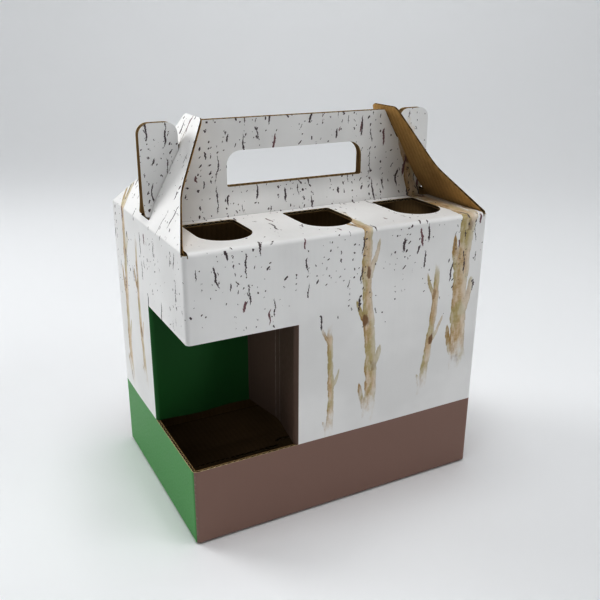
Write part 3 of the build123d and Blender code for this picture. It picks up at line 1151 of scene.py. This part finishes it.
# the flaps' cut edges are darker than the other cut edges: partly the crushed board's own tone, partly
# painted shade
FLAP_EDGE_SHADED_PALE = (0.22, 0.150, 0.078, 1)
FLAP_EDGE_SHADED_DEEP = (0.13, 0.085, 0.042, 1)
lit_flap_kraft = kraft_paper("lit_flap_kraft", FLAP_LIT_PALE, FLAP_LIT_DEEP, KRAFT_RIDGE)
dark_shaded_flap_edge = kraft_paper("dark_shaded_flap_edge", FLAP_EDGE_SHADED_PALE, FLAP_EDGE_SHADED_DEEP, ridge=0.0)
FLAP_FINISHES = (printed, lit_flap_kraft, dark_shaded_flap_edge, shaded_medium)
flap_line = FoldLine(
    [
        (-END, SHOULDER - CREASE, 0),
        (-END, SHOULDER, CREASE_TURN_RADIUS),
        (-END + FLAP_LENGTH * math.sin(LEAN), SHOULDER + FLAP_LENGTH * math.cos(LEAN), 0),
    ],
    side=1,
)


def on_flap(rise):
    """How far up the flat sheet a rise from an end flap's crease is."""
    return flap_line.length - FLAP_LENGTH + rise


flap_line.cuts += [on_flap(rise) for rise in FOLD_CUTS]


def slot_half(rise):
    """Half the slot's width where the handle panels pass through it."""
    height = rise * math.cos(LEAN) - BOARD * math.sin(LEAN)
    return -HANDLE_FOOT - height * math.tan(HANDLE_LEAN) - handle_press(height) + SLOT_ROOM


def flap_loops():
    """A flap's outline, wide at the crease, and the slot that goes over the wings."""
    right = [
        (FLAP_ROOT, 0, 0),
        (FLAP_ROOT, on_flap(0), 0),
        (FLAP_NECK, on_flap(FLAP_NECK_RISE), FLAP_NECK_BEND),
        (FLAP_TIP, on_flap(FLAP_LENGTH), FLAP_TIP_CORNER),
    ]
    left = mirror(right)
    slot_side = [(slot_half(rise), on_flap(rise), 0) for rise in SLOT_RISES]
    slot_side += [(LIP_HALF, on_flap(LIP_END), 0), (LIP_HALF, on_flap(FLAP_SLOT_END), 0)]
    return [round_off(right + left), round_off(slot_side + mirror(slot_side))]


flap_outline, flap_slot = flap_loops()


def flap_crush(s, t):
    """The share of the board's thickness that is left: the cutting rule crushes it along the flap's edges."""
    spot = Vector((s, t))
    near = CRUSH_WIDTH
    for a, b in zip(flap_outline, flap_outline[1:]):
        share = max(0.0, min(1.0, (spot - a).dot(b - a) / (b - a).length_squared))
        near = min(near, (spot - a - (b - a) * share).length)
    flat = min(1.0, max(0.0, (t - on_flap(0)) / CRUSH_START))
    return 1 - CRUSH * flat * (1 - near / CRUSH_WIDTH)


def crush_lines():
    """Lines beside the flap's straight edges, where its thickness starts to give."""
    corners = [(FLAP_ROOT, 0), (FLAP_NECK, FLAP_NECK_RISE), (FLAP_TIP, FLAP_LENGTH), (0, FLAP_LENGTH)]
    lines = []
    for (s, rise), (next_s, next_rise) in zip(corners, corners[1:]):
        normal = Vector((rise - next_rise, next_s - s, 0)).normalized()
        distance = normal.dot((s, on_flap(rise), 0)) + CRUSH_WIDTH
        lines += [(normal, distance), (Vector((-normal.x, normal.y, 0)), distance)]
    return lines[:-1]


for end, name, start in (
    (-1, "left", CREASE - CORNER_RUN - FLAP_ROOT),
    (1, "right", 2 * END - CREASE + CORNER_RUN + FLAP_ROOT),
):
    flap = fold_board(
        name + "_gable_flap",
        [flap_outline, flap_slot],
        flap_line,
        UP,
        lambda x, z, s, end=end: (-end * x, end * s, z),
        (start, SHOULDER - CREASE),
        FLAP_FINISHES,
        slants=crush_lines(),
        crush=flap_crush,
    )
    low = Vector((end * END, 0, SHOULDER - CREASE_TURN_RADIUS)) * MM
    high = Vector((end * (END - math.sin(LEAN)), 0, SHOULDER + math.cos(LEAN) * FLAP_SLOT_START)) * MM
    name + "_flap"
    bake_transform(flap)
    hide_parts(name + "_end_flap")

# Floor: a plain pale studio sweep under the box and all round it, which is not part of it.
# It is matt painted board, flat under the box and curved up to a wall far from it.
# The box stands on it.
SWEEP_FLAT = 0.9
SWEEP_CURVE = 1.3
SWEEP_HEIGHT = 2.6
SWEEP_SIDES = 96
SWEEP_STEPS = 24
SWEEP_GREY = (0.79, 0.80, 0.81, 1)
sweep_shape = bmesh.new()
sweep_line = [(SWEEP_FLAT, 0.0)]
for step in range(1, SWEEP_STEPS + 1):
    angle = math.pi / 2 * step / SWEEP_STEPS
    sweep_line.append((SWEEP_FLAT + SWEEP_CURVE * math.sin(angle), SWEEP_CURVE * (1 - math.cos(angle))))
sweep_line.append((SWEEP_FLAT + SWEEP_CURVE, SWEEP_HEIGHT))
sweep_rings = []
for radius, height in sweep_line:
    ring = []
    for side in range(SWEEP_SIDES):
        turn = 2 * math.pi * side / SWEEP_SIDES
        ring.append(sweep_shape.verts.new((radius * math.cos(turn), radius * math.sin(turn), height)))
    sweep_rings.append(ring)
sweep_shape.faces.new(sweep_rings[0])
for inner, outer in zip(sweep_rings, sweep_rings[1:]):
    for side in range(SWEEP_SIDES):
        sweep_shape.faces.new((inner[side - 1], outer[side - 1], outer[side], inner[side]))
sweep_mesh = bpy.data.meshes.new("studio_sweep")
sweep_shape.to_mesh(sweep_mesh)
sweep_shape.free()
sweep_mesh.shade_smooth()
sweep = bpy.data.objects.new("studio_sweep", sweep_mesh)
bpy.context.collection.objects.link(sweep)
sweep_paint, _, sweep_shader = new_finish("matt_sweep")
sweep_shader.inputs["Base Color"].default_value = SWEEP_GREY
sweep_shader.inputs["Roughness"].default_value = 0.8
sweep_mesh.materials.append(sweep_paint)

# Light: a broad soft box overhead, one at the left behind the box and one in front at the right.
# A fourth one lights the sweep behind the box. They are lamps and a dim room.
# They all stand outside the picture.
BOX_MIDDLE = Vector((0, 0, 0.1))
BACKDROP_MIDDLE = Vector((1.0, 1.9, 0.4))


def soft_box(name, place, aim, width, power, spread):
    """A square studio light that looks at a point, with its beam narrowed to a spread in degrees."""
    light = bpy.data.lights.new(name, "AREA")
    light.size = width
    light.energy = power
    light.spread = math.radians(spread)
    lamp = bpy.data.objects.new(name, light)
    lamp.location = place
    lamp.rotation_euler = (aim - lamp.location).to_track_quat("-Z", "Y").to_euler()
    bpy.context.collection.objects.link(lamp)


soft_box("overhead_light", Vector((-0.05, -0.15, 2.2)), BOX_MIDDLE, width=1.4, power=32.0, spread=180)
soft_box("left_light", Vector((-0.87, 1.04, 0.73)), BOX_MIDDLE, width=0.7, power=2.3, spread=80)
soft_box("right_light", Vector((1.02, -0.86, 0.78)), BOX_MIDDLE, width=0.7, power=0.9, spread=80)
soft_box("backdrop_light", Vector((0.45, 0.85, 1.8)), BACKDROP_MIDDLE, width=0.8, power=4.5, spread=130)
room = bpy.data.worlds.new("studio_room")
room.use_nodes = True
room_light = room.node_tree.nodes["Background"]
room_light.inputs["Color"].default_value = (0.96, 0.98, 1.0, 1)
room_light.inputs["Strength"].default_value = 0.02
bpy.context.scene.world = room
bpy.context.scene.view_settings.view_transform = "Standard"
bpy.context.scene.view_settings.gamma = 0.75

# Camera: a lens a little longer than normal, in front of the box's left corner and above it.
# It stands where the photograph was taken from.
# Its angles are from the box's length and from level.
CAMERA_PLACE = Vector((-192.8, -371.6, 260.3))
CAMERA_TURN = math.radians(27.89)
CAMERA_DIP = math.radians(20.67)
CAMERA_ROLL = math.radians(0.32)
LENS_LENGTH = 44.9
SENSOR_WIDTH = 36.0
lens = bpy.data.cameras.new("photo_camera")
lens.lens = LENS_LENGTH
lens.sensor_width = SENSOR_WIDTH
camera = bpy.data.objects.new("photo_camera", lens)
facing = Matrix.Rotation(-CAMERA_TURN, 4, "Z") @ Matrix.Rotation(math.pi / 2 - CAMERA_DIP, 4, "X")
camera.matrix_world = Matrix.Translation(CAMERA_PLACE * MM) @ facing @ Matrix.Rotation(CAMERA_ROLL, 4, "Z")
bpy.context.collection.objects.link(camera)
bpy.context.scene.camera = camera
